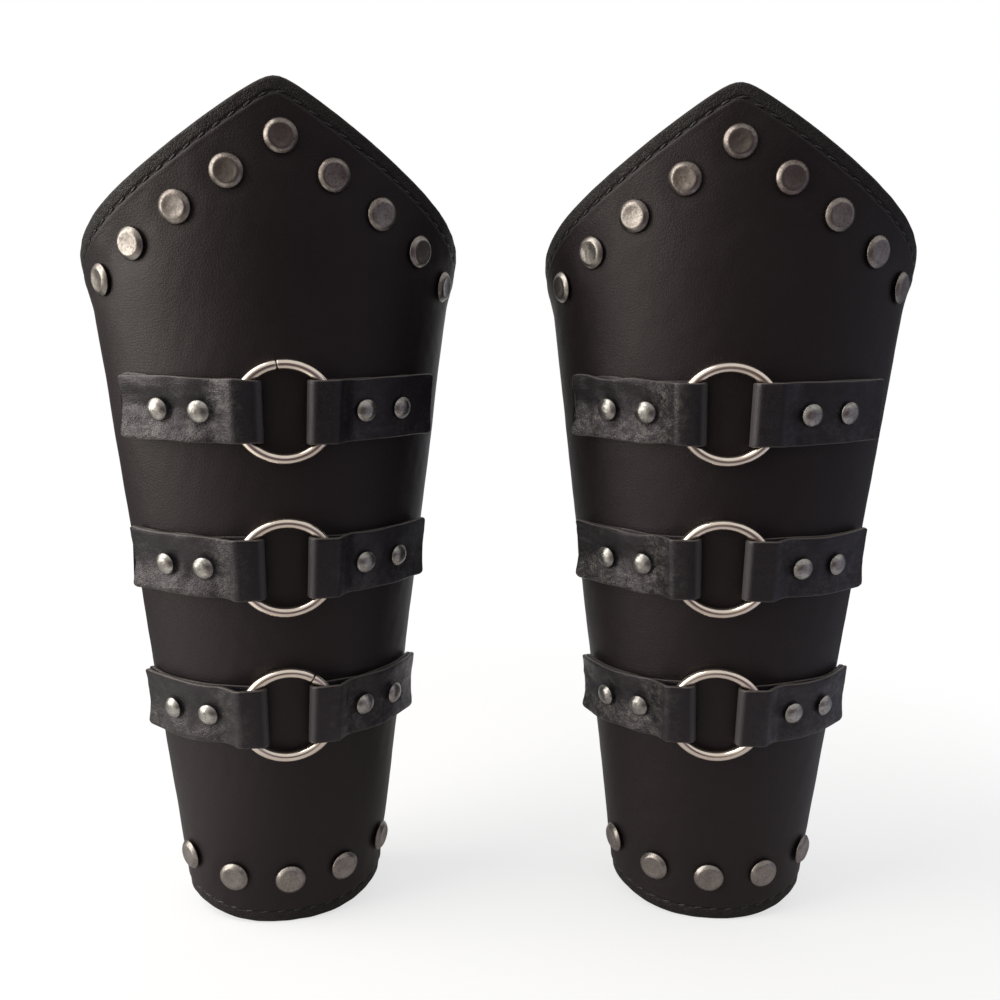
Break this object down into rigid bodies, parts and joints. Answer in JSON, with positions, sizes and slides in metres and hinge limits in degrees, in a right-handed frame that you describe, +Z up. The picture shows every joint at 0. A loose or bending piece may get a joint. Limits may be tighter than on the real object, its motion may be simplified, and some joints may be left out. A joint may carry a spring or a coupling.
{
  "type": "pair of leather bracers",
  "caption": "Tall tapered leather forearm bracers with pointed tops, dome rivets, ring straps across the front and eyelets for lacing at the back.",
  "frame": {"origin": "on the table midway between the two bracers, under the middle of the pair's box", "axes": "+Z up from the wrist ends to the peaks, -Y towards the viewer and the bracers' fronts, +X from the left bracer to the right one as seen in the picture"},
  "size_m": [0.2593, 0.0914, 0.2624],
  "materials": {
    "leather": "black, smooth, semi-matt with a soft sheen",
    "strap_leather": "black, thin, lightly creased, semi-gloss",
    "lining": "dark suede, matt",
    "gunmetal": "antique nickel, worn and speckled",
    "pewter": "antique pewter, semi-bright",
    "nickel": "polished nickel, faintly warm",
    "eyelet_metal": "antique nickel, satin"
  },
  "bodies": {
    "left_bracer": {"left_outer_shell": "leather", "left_lining": "lining", "left_peak_rivet_caps": "gunmetal", "left_peak_rivet_backs": "gunmetal", "left_cuff_rivet_caps": "gunmetal", "left_cuff_rivet_backs": "gunmetal", "left_strap_upper_left": "strap_leather", "left_strap_upper_right": "strap_leather", "left_strap_middle_left": "strap_leather", "left_strap_middle_right": "strap_leather", "left_strap_lower_left": "strap_leather", "left_strap_lower_right": "strap_leather", "left_strap_rivet_caps": "pewter", "left_strap_rivet_backs": "pewter", "left_eyelets": "eyelet_metal", "left_eyelet_washers": "eyelet_metal"},
    "left_upper_ring": {"left_ring_upper": "nickel"},
    "left_middle_ring": {"left_ring_middle": "nickel"},
    "left_lower_ring": {"left_ring_lower": "nickel"},
    "right_bracer": {"right_outer_shell": "leather", "right_lining": "lining", "right_peak_rivet_caps": "gunmetal", "right_peak_rivet_backs": "gunmetal", "right_cuff_rivet_caps": "gunmetal", "right_cuff_rivet_backs": "gunmetal", "right_strap_upper_left": "strap_leather", "right_strap_upper_right": "strap_leather", "right_strap_middle_left": "strap_leather", "right_strap_middle_right": "strap_leather", "right_strap_lower_left": "strap_leather", "right_strap_lower_right": "strap_leather", "right_strap_rivet_caps": "pewter", "right_strap_rivet_backs": "pewter", "right_eyelets": "eyelet_metal", "right_eyelet_washers": "eyelet_metal"},
    "right_upper_ring": {"right_ring_upper": "nickel"},
    "right_middle_ring": {"right_ring_middle": "nickel"},
    "right_lower_ring": {"right_ring_lower": "nickel"}
  },
  "joints": [
    {"name": "right_bracer_lift", "type": "slide", "parent": "left_bracer", "child": "right_bracer", "axis": [0, 0, 1], "range_m": [0, 0.3]},
    {"name": "left_upper_ring_turn", "type": "hinge", "parent": "left_bracer", "child": "left_upper_ring", "pos_m": [-0.06409, -0.03812, 0.1691], "axis": [0.2172, -0.9715, -0.0948], "continuous": true},
    {"name": "left_middle_ring_turn", "type": "hinge", "parent": "left_bracer", "child": "left_middle_ring", "pos_m": [-0.06509, -0.03363, 0.1216], "axis": [0.2172, -0.9715, -0.0948], "continuous": true},
    {"name": "left_lower_ring_turn", "type": "hinge", "parent": "left_bracer", "child": "left_lower_ring", "pos_m": [-0.0661, -0.0291, 0.0739], "axis": [0.2172, -0.9715, -0.0948], "continuous": true},
    {"name": "right_upper_ring_turn", "type": "hinge", "parent": "right_bracer", "child": "right_upper_ring", "pos_m": [0.06667, -0.03861, 0.1691], "axis": [-0.1574, -0.983, -0.0948], "continuous": true},
    {"name": "right_middle_ring_turn", "type": "hinge", "parent": "right_bracer", "child": "right_middle_ring", "pos_m": [0.0674, -0.03407, 0.1216], "axis": [-0.1574, -0.983, -0.0948], "continuous": true},
    {"name": "right_lower_ring_turn", "type": "hinge", "parent": "right_bracer", "child": "right_lower_ring", "pos_m": [0.06814, -0.02949, 0.0739], "axis": [-0.1574, -0.983, -0.0948], "continuous": true}
  ]
}
